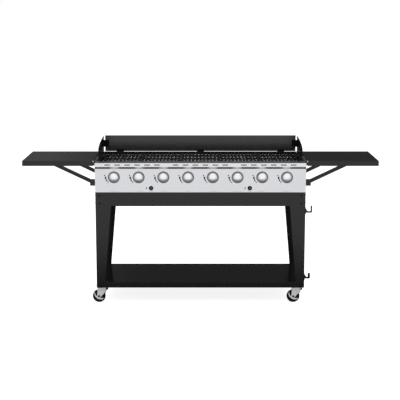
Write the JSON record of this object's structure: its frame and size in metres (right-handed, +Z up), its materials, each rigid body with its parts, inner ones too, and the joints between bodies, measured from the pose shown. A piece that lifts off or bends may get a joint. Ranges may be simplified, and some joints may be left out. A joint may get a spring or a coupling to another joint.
{
  "type": "gas grill",
  "caption": "Wide outdoor gas grill on a wheeled cart with a stainless control panel, cast cooking grates, wind guard, folding side tables, braked casters and gas bottle hooks.",
  "frame": {"origin": "on the floor, below the middle of the grill's whole box with both side tables open", "axes": "+X to the right as the cook at the front sees it, +Y from the knobs to the back, +Z up"},
  "size_m": [2.42, 0.5922, 1.1074],
  "materials": {
    "powder_black": "satin black powder coat",
    "stainless": "brushed along its length",
    "cast_iron": "matt seasoned",
    "chrome": "satin chrome plate",
    "bezel_grey": "dark grey enamel",
    "zinc_plate": "bright zinc plate",
    "wheel_rubber": "matt black",
    "black_plastic": "fine grain",
    "grey_plastic": "semi-gloss",
    "pipe_steel": "plain steel pipe",
    "brass": "machined",
    "ceramic": "glazed ceramic",
    "tray_steel": "aluminised sheet"
  },
  "bodies": {
    "cart": {"leg_front_left": "powder_black", "leg_front_right": "powder_black", "leg_rear_left": "powder_black", "leg_rear_right": "powder_black", "front_rail": "powder_black", "rear_rail": "powder_black", "side_rails": "powder_black", "bottom_shelf": "powder_black", "fasteners": "powder_black", "caster_plates": "zinc_plate", "firebox": "powder_black", "control_panel": "stainless", "vent_trim": "stainless", "heat_plates": "stainless", "burners": "stainless", "gas_manifold": "pipe_steel", "gas_valves": "brass", "knob_bezels": "bezel_grey", "igniter_housings": "black_plastic", "spark_electrodes": "ceramic", "tray_runners": "zinc_plate", "wind_guard_back": "powder_black", "wind_guard_left": "powder_black", "wind_guard_right": "powder_black", "wind_guard_brackets": "powder_black", "table_hinges": "powder_black", "arm_brackets": "powder_black", "tank_hooks": "powder_black"},
    "table_left": {"side_table_left": "powder_black"},
    "table_right": {"side_table_right": "powder_black"},
    "arm_left_front": {"support_arm_left_front": "powder_black"},
    "arm_left_rear": {"support_arm_left_rear": "powder_black"},
    "arm_right_front": {"support_arm_right_front": "powder_black"},
    "arm_right_rear": {"support_arm_right_rear": "powder_black"},
    "caster_front_left": {"caster_fork_front_left": "zinc_plate"},
    "wheel_front_left": {"caster_wheel_front_left": "wheel_rubber"},
    "caster_front_right": {"caster_fork_front_right": "zinc_plate"},
    "wheel_front_right": {"caster_wheel_front_right": "wheel_rubber"},
    "caster_rear_left": {"caster_fork_rear_left": "zinc_plate"},
    "wheel_rear_left": {"caster_wheel_rear_left": "wheel_rubber"},
    "caster_rear_right": {"caster_fork_rear_right": "zinc_plate"},
    "wheel_rear_right": {"caster_wheel_rear_right": "wheel_rubber"},
    "brake_left": {"caster_brake_left": "black_plastic"},
    "brake_right": {"caster_brake_right": "black_plastic"},
    "knob_1": {"knob_1": "chrome"},
    "knob_2": {"knob_2": "chrome"},
    "knob_3": {"knob_3": "chrome"},
    "knob_4": {"knob_4": "chrome"},
    "knob_5": {"knob_5": "chrome"},
    "knob_6": {"knob_6": "chrome"},
    "knob_7": {"knob_7": "chrome"},
    "knob_8": {"knob_8": "chrome"},
    "igniter_left": {"igniter_button_left": "grey_plastic"},
    "igniter_right": {"igniter_button_right": "grey_plastic"},
    "tray": {"grease_tray": "tray_steel"},
    "grate_1": {"cooking_grate_1": "cast_iron"},
    "grate_2": {"cooking_grate_2": "cast_iron"},
    "grate_3": {"cooking_grate_3": "cast_iron"},
    "grate_4": {"cooking_grate_4": "cast_iron"},
    "grate_5": {"cooking_grate_5": "cast_iron"}
  },
  "joints": [
    {"name": "table_left_fold", "type": "hinge", "parent": "cart", "child": "table_left", "pos_m": [-0.75, -0.01735, 0.978], "axis": [0, -1, 0], "range_deg": [0, 90]},
    {"name": "table_right_fold", "type": "hinge", "parent": "cart", "child": "table_right", "pos_m": [0.75, -0.01735, 0.978], "axis": [0, 1, 0], "range_deg": [0, 90]},
    {"name": "arm_left_front_fold", "type": "hinge", "parent": "cart", "child": "arm_left_front", "pos_m": [-0.742, -0.22155, 0.85], "axis": [0, -1, 0], "range_deg": [0, 115.5]},
    {"name": "arm_left_rear_fold", "type": "hinge", "parent": "cart", "child": "arm_left_rear", "pos_m": [-0.742, 0.19845, 0.85], "axis": [0, -1, 0], "range_deg": [0, 115.5]},
    {"name": "arm_right_front_fold", "type": "hinge", "parent": "cart", "child": "arm_right_front", "pos_m": [0.742, -0.22155, 0.85], "axis": [0, 1, 0], "range_deg": [0, 115.5]},
    {"name": "arm_right_rear_fold", "type": "hinge", "parent": "cart", "child": "arm_right_rear", "pos_m": [0.742, 0.19845, 0.85], "axis": [0, 1, 0], "range_deg": [0, 115.5]},
    {"name": "caster_front_left_swivel", "type": "hinge", "parent": "cart", "child": "caster_front_left", "pos_m": [-0.675, -0.22035, 0.104], "axis": [0, 0, 1], "continuous": true},
    {"name": "wheel_front_left_roll", "type": "hinge", "parent": "caster_front_left", "child": "wheel_front_left", "pos_m": [-0.705, -0.22035, 0.0445], "axis": [0, 1, 0], "continuous": true},
    {"name": "caster_front_right_swivel", "type": "hinge", "parent": "cart", "child": "caster_front_right", "pos_m": [0.675, -0.22035, 0.104], "axis": [0, 0, 1], "continuous": true},
    {"name": "wheel_front_right_roll", "type": "hinge", "parent": "caster_front_right", "child": "wheel_front_right", "pos_m": [0.645, -0.22035, 0.0445], "axis": [0, 1, 0], "continuous": true},
    {"name": "caster_rear_left_swivel", "type": "hinge", "parent": "cart", "child": "caster_rear_left", "pos_m": [-0.675, 0.23965, 0.104], "axis": [0, 0, 1], "continuous": true},
    {"name": "wheel_rear_left_roll", "type": "hinge", "parent": "caster_rear_left", "child": "wheel_rear_left", "pos_m": [-0.705, 0.23965, 0.0445], "axis": [0, 1, 0], "continuous": true},
    {"name": "caster_rear_right_swivel", "type": "hinge", "parent": "cart", "child": "caster_rear_right", "pos_m": [0.675, 0.23965, 0.104], "axis": [0, 0, 1], "continuous": true},
    {"name": "wheel_rear_right_roll", "type": "hinge", "parent": "caster_rear_right", "child": "wheel_rear_right", "pos_m": [0.645, 0.23965, 0.0445], "axis": [0, 1, 0], "continuous": true},
    {"name": "brake_left_press", "type": "hinge", "parent": "caster_front_left", "child": "brake_left", "pos_m": [-0.661, -0.22035, 0.088], "axis": [0, 1, 0], "range_deg": [0, 11]},
    {"name": "brake_right_press", "type": "hinge", "parent": "caster_front_right", "child": "brake_right", "pos_m": [0.689, -0.22035, 0.088], "axis": [0, 1, 0], "range_deg": [0, 11]},
    {"name": "knob_1_turn", "type": "hinge", "parent": "cart", "child": "knob_1", "pos_m": [-0.588, -0.26285, 0.886], "axis": [0, -1, 0], "range_deg": [0, 135]},
    {"name": "knob_2_turn", "type": "hinge", "parent": "cart", "child": "knob_2", "pos_m": [-0.42, -0.26285, 0.886], "axis": [0, -1, 0], "range_deg": [0, 135]},
    {"name": "knob_3_turn", "type": "hinge", "parent": "cart", "child": "knob_3", "pos_m": [-0.252, -0.26285, 0.886], "axis": [0, -1, 0], "range_deg": [0, 135]},
    {"name": "knob_4_turn", "type": "hinge", "parent": "cart", "child": "knob_4", "pos_m": [-0.084, -0.26285, 0.886], "axis": [0, -1, 0], "range_deg": [0, 135]},
    {"name": "knob_5_turn", "type": "hinge", "parent": "cart", "child": "knob_5", "pos_m": [0.084, -0.26285, 0.886], "axis": [0, -1, 0], "range_deg": [0, 135]},
    {"name": "knob_6_turn", "type": "hinge", "parent": "cart", "child": "knob_6", "pos_m": [0.252, -0.26285, 0.886], "axis": [0, -1, 0], "range_deg": [0, 135]},
    {"name": "knob_7_turn", "type": "hinge", "parent": "cart", "child": "knob_7", "pos_m": [0.42, -0.26285, 0.886], "axis": [0, -1, 0], "range_deg": [0, 135]},
    {"name": "knob_8_turn", "type": "hinge", "parent": "cart", "child": "knob_8", "pos_m": [0.588, -0.26285, 0.886], "axis": [0, -1, 0], "range_deg": [0, 135]},
    {"name": "igniter_left_push", "type": "slide", "parent": "cart", "child": "igniter_left", "axis": [0, 1, 0], "range_m": [0, 0.003], "stiffness_N_per_m": 600},
    {"name": "igniter_right_push", "type": "slide", "parent": "cart", "child": "igniter_right", "axis": [0, 1, 0], "range_m": [0, 0.003], "stiffness_N_per_m": 600},
    {"name": "grease_tray_slide", "type": "slide", "parent": "cart", "child": "tray", "axis": [0, 1, 0], "range_m": [0, 0.4]},
    {"name": "grate_1_lift", "type": "slide", "parent": "cart", "child": "grate_1", "axis": [0, 0, 1], "range_m": [0, 0.1]},
    {"name": "grate_2_lift", "type": "slide", "parent": "cart", "child": "grate_2", "axis": [0, 0, 1], "range_m": [0, 0.1]},
    {"name": "grate_3_lift", "type": "slide", "parent": "cart", "child": "grate_3", "axis": [0, 0, 1], "range_m": [0, 0.1]},
    {"name": "grate_4_lift", "type": "slide", "parent": "cart", "child": "grate_4", "axis": [0, 0, 1], "range_m": [0, 0.1]},
    {"name": "grate_5_lift", "type": "slide", "parent": "cart", "child": "grate_5", "axis": [0, 0, 1], "range_m": [0, 0.1]}
  ],
  "couplings": [
    {"joint": "arm_left_front_fold", "follows": "table_left_fold", "ratio": 1.2828},
    {"joint": "arm_left_rear_fold", "follows": "table_left_fold", "ratio": 1.2828},
    {"joint": "arm_right_front_fold", "follows": "table_right_fold", "ratio": 1.2828},
    {"joint": "arm_right_rear_fold", "follows": "table_right_fold", "ratio": 1.2828}
  ]
}
